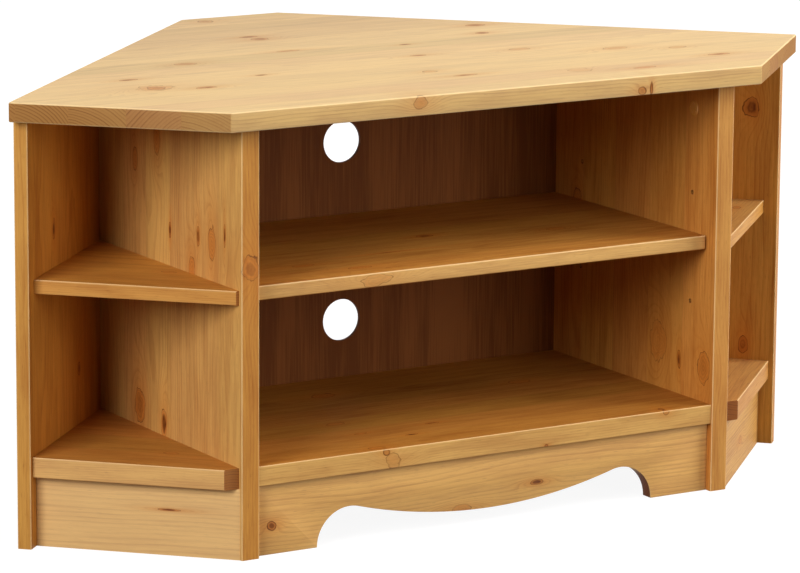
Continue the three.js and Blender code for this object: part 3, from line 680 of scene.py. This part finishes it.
def makeApron():
    low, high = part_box("center_plinth")
    foot, cove, lift = (apronBoard[size] * mm for size in ("footWidth", "coveRadius", "bellyLift"))
    coveAt = high.x - foot - cove
    belly = (coveAt ** 2 + lift ** 2 - cove ** 2) / (2 * (cove - lift))
    meet = math.atan2(lift + belly, coveAt)
    bpy.ops.object.select_all(action="DESELECT")
    bpy.ops.mesh.primitive_plane_add(size=1, location=(low.x, low.y, low.z))
    board = bpy.context.active_object
    settle(board, "center_apron")
    bpy.ops.object.mode_set(mode="EDIT")
    bpy.ops.mesh.merge(type="CENTER")
    extrude((foot, 0, 0))
    for steps, angle, centre in (
            (apronBoard["coveSteps"], math.pi - meet, (-coveAt, low.y, low.z)),
            (apronBoard["bellySteps"], 2 * meet - math.pi, (0, low.y, low.z + lift + belly)),
            (apronBoard["coveSteps"], math.pi - meet, (coveAt, low.y, low.z))):
        bpy.ops.mesh.spin(steps=steps, angle=angle, center=centre, axis=(0, -1, 0))
    for step in ((foot, 0, 0), (0, 0, high.z - low.z), (low.x - high.x, 0, 0)):
        extrude(step)
    bpy.ops.mesh.select_all(action="SELECT")
    bpy.ops.mesh.edge_face_add()
    extrude((0, high.y - low.y, 0))
    closeMesh()
    easeEdges(board, apronBoard["arris"], apronBoard["arrisSteps"], angle=apronBoard["arrisAngle"])
    material = makePine("center_plinth", "lacqueredPine.apron", pineBoards["center_plinth"])
    finishPiece(board, "cabinet", "lacquered_pine", material, "center_plinth")


# Which way the open face of each fitting looks.
facings = {
    "left_divider": lengthwise, "right_divider": -lengthwise, "left_wall_panel": -leftRun,
    "right_wall_panel": -rightRun, "left_bottom": -upright, "right_bottom": -upright,
    "left_front_shelf_pin": lengthwise, "left_rear_shelf_pin": lengthwise,
    "right_front_shelf_pin": -lengthwise, "right_rear_shelf_pin": -lengthwise,
}


# Copies a fitting that was modelled along +Z, its face at zero, to a CAD node's place, and removes the model.
def placeCopies(model, ending, length, body, slot, material):
    for node in sorted(name for name in nodes if name.endswith(ending)):
        facing = next(way for start, way in facings.items() if node.startswith(start))
        low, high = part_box(node)
        face = (low + high) / 2 + facing * length * mm / 2
        piece = bpy.data.objects.new("fitted_" + node, model.data.copy())
        bpy.context.scene.collection.objects.link(piece)
        piece.data.transform(Matrix.Translation(face) @ facing.to_track_quat("Z", "Y").to_matrix().to_4x4())
        finishPiece(piece, body, slot, material, node)
    bpy.data.objects.remove(model)


def turnedStart(name, diameter, length, sides):
    bpy.ops.object.select_all(action="DESELECT")
    bpy.ops.mesh.primitive_cylinder_add(vertices=sides, radius=diameter * mm / 2, depth=length * mm,
                                        location=(0, 0, -length * mm / 2))
    model = bpy.context.active_object
    settle(model, name)
    return model


def crossTools(across, width, deep):
    tools = []
    for size in ((across, width), (width, across)):
        reach = Vector((size[0], size[1], 2 * deep)) * mm / 2
        tools.append(boardBlock("crossTool", -reach, reach))
    return tools


# Cam locks of cast zinc: a domed rim, a crossed driver slot and the mouth for the bolt's head.
camLock = {"diameter": 15.0, "length": 12.0, "sides": 64, "rim": 0.5, "rimSteps": 3, "slotAcross": 7.6,
           "slotWidth": 1.7, "slotDeep": 3.0, "mouthWide": 7.5, "mouthTop": 4.2}


def makeCamLocks(material):
    model = turnedStart("camLock", camLock["diameter"], camLock["length"], camLock["sides"])
    applied(model, "BEVEL", width=camLock["rim"] * mm, segments=camLock["rimSteps"], limit_method="ANGLE")
    reach = camLock["mouthWide"] / 2
    mouth = boardBlock("mouthTool", Vector((-reach, -reach, -2 * camLock["length"])) * mm,
                       Vector((camLock["diameter"], reach, -camLock["mouthTop"])) * mm)
    cutAway(model, mouth, *crossTools(camLock["slotAcross"], camLock["slotWidth"], camLock["slotDeep"]))
    shadeSmooth(model)
    placeCopies(model, "_cam_lock", camLock["length"], "cabinet", "zinc_casting", material)


# Push-in caps over the dividers' cam locks: moulded, a flat face that falls off in a wide, low round edge.
# The edge is rounded evenly on a thicker disc, which is halved and then pressed flat.
camCap = {"diameter": 18.0, "height": 1.5, "sides": 72, "edge": 3.2, "flank": 0.3, "edgeSteps": 8}


def makeCamCaps(material):
    deep = camCap["edge"] + camCap["flank"]
    model = turnedStart("camCap", camCap["diameter"], 2 * deep, camCap["sides"])
    easeEdges(model, camCap["edge"], camCap["edgeSteps"])
    bpy.ops.object.mode_set(mode="EDIT")
    bpy.ops.mesh.select_all(action="SELECT")
    bpy.ops.mesh.bisect(plane_co=(0, 0, -deep * mm), plane_no=(0, 0, -1), clear_outer=True, use_fill=True)
    bpy.ops.object.mode_set(mode="OBJECT")
    bpy.ops.transform.resize(value=(1, 1, camCap["height"] / deep))
    settle(model, "camCap")
    shadeSmooth(model)
    placeCopies(model, "_cam_cap", camCap["height"], "cabinet", "cap_plastic", material)


# Shelf pins: turned steel with domed ends.
shelfPin = {"diameter": 5.0, "length": 17.0, "sides": 40, "dome": 1.4, "domeSteps": 5}


def makeShelfPins(material):
    model = turnedStart("shelfPin", shelfPin["diameter"], shelfPin["length"], shelfPin["sides"])
    easeEdges(model, shelfPin["dome"], shelfPin["domeSteps"])
    placeCopies(model, "_shelf_pin", shelfPin["length"], "cabinet", "bright_steel", material)


# Screws of the wall panels: countersunk, with a crossed recess. The thread is too fine to show and is hidden.
wallScrew = {"head": 8.0, "headDeep": 2.4, "shank": 4.0, "length": 28.0, "sides": 40, "point": 4.0,
             "slotAcross": 4.2, "slotWidth": 0.9, "slotDeep": 1.6, "arris": 0.12, "arrisSteps": 2}


# Selects the flat end of a turned piece that looks along +Z or -Z, and leaves it in edit mode.
def pickEnd(model, way):
    squarely = 0.9
    bpy.ops.mesh.select_all(action="DESELECT")
    bpy.ops.object.mode_set(mode="OBJECT")
    for face in model.data.polygons:
        face.select = face.normal.z * way > squarely
    bpy.ops.object.mode_set(mode="EDIT")


def makeWallScrews(material):
    model = turnedStart("wallScrew", wallScrew["shank"], wallScrew["length"], wallScrew["sides"])
    bpy.ops.object.mode_set(mode="EDIT")
    bpy.ops.mesh.select_mode(type="FACE")
    pickEnd(model, 1)
    bpy.ops.transform.translate(value=(0, 0, -wallScrew["headDeep"] * mm))
    extrude((0, 0, wallScrew["headDeep"] * mm))
    widen = wallScrew["head"] / wallScrew["shank"]
    bpy.ops.transform.resize(value=(widen, widen, 1), center_override=(0, 0, 0))
    pickEnd(model, -1)
    bpy.ops.transform.translate(value=(0, 0, wallScrew["point"] * mm))
    extrude((0, 0, -wallScrew["point"] * mm))
    bpy.ops.mesh.merge(type="CENTER")
    bpy.ops.object.mode_set(mode="OBJECT")
    cutAway(model, *crossTools(wallScrew["slotAcross"], wallScrew["slotWidth"], wallScrew["slotDeep"]))
    easeEdges(model, wallScrew["arris"], wallScrew["arrisSteps"])
    placeCopies(model, "_screw", wallScrew["length"], "cabinet", "bright_steel", material)


# Metals and plastic of the fittings.
fittingFinishes = {
    # Die-cast zinc: dull mid grey with a cloudy, slightly grainy skin.
    "castZinc": {"colour": "#9d9d99", "shade": "#7f807d", "metal": 1.0, "roughness": (0.42, 0.6),
                 "speck": 0.5, "specular": 0.5},
    # Zinc-plated steel: bright and smooth, a little cloudy.
    "platedSteel": {"colour": "#c9c9c5", "shade": "#b3b4b2", "metal": 1.0, "roughness": (0.24, 0.36),
                    "speck": 0.25, "specular": 0.5},
    # Moulded polyethylene in the wood's own tone: soft waxy sheen.
    "capPlastic": {"colour": "#e0a04c", "shade": "#d69643", "metal": 0.0, "roughness": (0.2, 0.28),
                   "speck": 0.35, "specular": 0.5},
}
fittingSkin = {"cloudFrom": (0.3, 0.7), "cloudDetail": 4.0, "gritFiner": 9, "gritDetail": 2.0, "bump": 0.25,
               "bumpDeep": 0.05}


def makeFinish(name):
    finish = fittingFinishes[name]
    material, tree = newMaterial(name)
    coordinates = addNode(tree, "TexCoord").outputs
    point = addNode(tree, "Mapping", {"Vector": coordinates["Object"], "Scale": inMillimetres})
    cloud = addNode(tree, "TexNoise", {
        "Vector": point, "Scale": finish["speck"], "Detail": fittingSkin["cloudDetail"]})
    grit = addNode(tree, "TexNoise", {
        "Vector": point, "Scale": finish["speck"] * fittingSkin["gritFiner"],
        "Detail": fittingSkin["gritDetail"]})
    colour = blended(tree, cloud, linear(finish["colour"]), linear(finish["shade"]))
    roughness = mapped(tree, cloud, fittingSkin["cloudFrom"], finish["roughness"])
    bump = addNode(tree, "Bump", {
        "Height": grit, "Strength": fittingSkin["bump"], "Distance": fittingSkin["bumpDeep"] * mm})
    shader = addNode(tree, "BsdfPrincipled", {
        "Base Color": colour, "Roughness": roughness, "Metallic": finish["metal"],
        "Specular IOR Level": finish["specular"], "Normal": bump})
    addNode(tree, "OutputMaterial", {"Surface": shader})
    return material


makeTopBoard()
makeShelfBoard()
makeApron()
print("new boards done")
castZinc, platedSteel, capPlastic = (makeFinish(name) for name in fittingFinishes)
makeCamLocks(castZinc)
makeCamCaps(capPlastic)
makeShelfPins(platedSteel)
makeWallScrews(platedSteel)
for node in [name for name in nodes if name.endswith("_cam_bolt")]:
    dress(nodes[node], platedSteel)
print("fittings done")

# The studio: a pale floor under a soft world that is brighter overhead, with large lamps in front. The floor
# shows the shadow near the cabinet and turns white further off. The lamps point at the aim's height.
studio = {
    "floorColour": "#6c6c6c", "floorRoughness": 0.9, "floorSize": 30.0, "floorGlow": 0.92, "shadowReach": 0.8,
    "whiteFrom": 2.4, "horizon": 0.02, "zenith": 0.2, "roomColour": "#ffcc92", "aim": 0.3,
    "lamps": {
        "leftLamp": {"place": (-3.8, -1.75, 2.15), "size": 2.2, "power": 157},
        "topLamp": {"place": (0.1, 0.4, 3.7), "size": 2.2, "power": 42},
        "frontLamp": {"place": (1.2, -4.5, 1.3), "size": 2.0, "power": 62},
        "rightLamp": {"place": (3.7, -1.9, 2.2), "size": 2.6, "power": 184},
    },
}
white = (1, 1, 1, 1)


def seenDirectly(tree):
    rays = addNode(tree, "LightPath").outputs
    seen = calc(tree, "ADD", rays["Is Camera Ray"], rays["Is Glossy Ray"], clamp=True)
    return calc(tree, "ADD", seen, rays["Is Transmission Ray"], clamp=True)


def buildStudio():
    bpy.ops.mesh.primitive_plane_add(size=studio["floorSize"], location=(0, 0, cadBox[0].z))
    floor = bpy.context.active_object
    floor.name = "floor"
    material, tree = newMaterial("paleFloor")
    spot = addNode(tree, "TexCoord").outputs["Object"]
    away = vectorCalc(tree, "LENGTH", spot).outputs["Value"]
    glowHere = mapped(tree, away, (studio["shadowReach"], studio["whiteFrom"]), (studio["floorGlow"], 1.0))
    shader = addNode(tree, "BsdfPrincipled", {
        "Base Color": linear(studio["floorColour"]), "Roughness": studio["floorRoughness"],
        "Specular IOR Level": 0.0, "Emission Color": white,
        "Emission Strength": calc(tree, "MULTIPLY", seenDirectly(tree), glowHere)})
    addNode(tree, "OutputMaterial", {"Surface": shader})
    dress(floor, material)

    world = bpy.data.worlds.new("softRoom")
    world.use_nodes = True
    world.node_tree.nodes.clear()
    tree = world.node_tree
    direction = addNode(tree, "TexCoord").outputs["Generated"]
    heightShare = addNode(tree, "SeparateXYZ", {0: direction}).outputs["Z"]
    light = mapped(tree, heightShare, made=(studio["horizon"], studio["zenith"]))
    seen = seenDirectly(tree)
    strength = addNode(tree, "Mix", {"Factor": seen, "A": light, "B": 1.0}, data_type="FLOAT")
    colour = blended(tree, seen, linear(studio["roomColour"]), white)
    background = addNode(tree, "Background", {"Color": colour, "Strength": strength})
    addNode(tree, "OutputWorld", {"Surface": background})
    bpy.context.scene.world = world

    for name, lamp in studio["lamps"].items():
        data = bpy.data.lights.new(name, "AREA")
        data.size = lamp["size"]
        data.energy = lamp["power"]
        item = bpy.data.objects.new(name, data)
        item.location = lamp["place"]
        towards = Vector((0, 0, studio["aim"])) - Vector(lamp["place"])
        item.rotation_euler = towards.to_track_quat("-Z", "Y").to_euler()
        bpy.context.scene.collection.objects.link(item)


# The photograph's view, fitted to the cabinet's corners. The focal length is in pixels of a picture that is
# frameWidth pixels wide.
view = {
    "place": (-2.5755, -4.36238, 1.2709), "yaw": 31.093, "pitch": 11.717, "roll": 0.397,
    "focalLength": 4408.0, "frameWidth": 800, "sensor": 36.0, "nearest": 0.1, "furthest": 100,
}


def placeCamera():
    yaw, pitch, roll = (math.radians(view[turn]) for turn in ("yaw", "pitch", "roll"))
    forward = Vector((math.sin(yaw) * math.cos(pitch), math.cos(yaw) * math.cos(pitch), -math.sin(pitch)))
    right = Vector((math.cos(yaw), -math.sin(yaw), 0))
    top = right.cross(forward)
    rolledRight = right * math.cos(roll) + top * math.sin(roll)
    rolledTop = top * math.cos(roll) - right * math.sin(roll)
    data = bpy.data.cameras.new("photoCamera")
    data.sensor_width = view["sensor"]
    data.lens = view["focalLength"] * view["sensor"] / view["frameWidth"]
    data.clip_start, data.clip_end = view["nearest"], view["furthest"]
    camera = bpy.data.objects.new("photoCamera", data)
    turn = Matrix((rolledRight, rolledTop, -forward)).transposed()
    camera.matrix_world = Matrix.Translation(view["place"]) @ turn.to_4x4()
    bpy.context.scene.collection.objects.link(camera)
    bpy.context.scene.camera = camera


buildStudio()
placeCamera()
bpy.context.scene.view_settings.view_transform = "Standard"
print("studio and camera done")
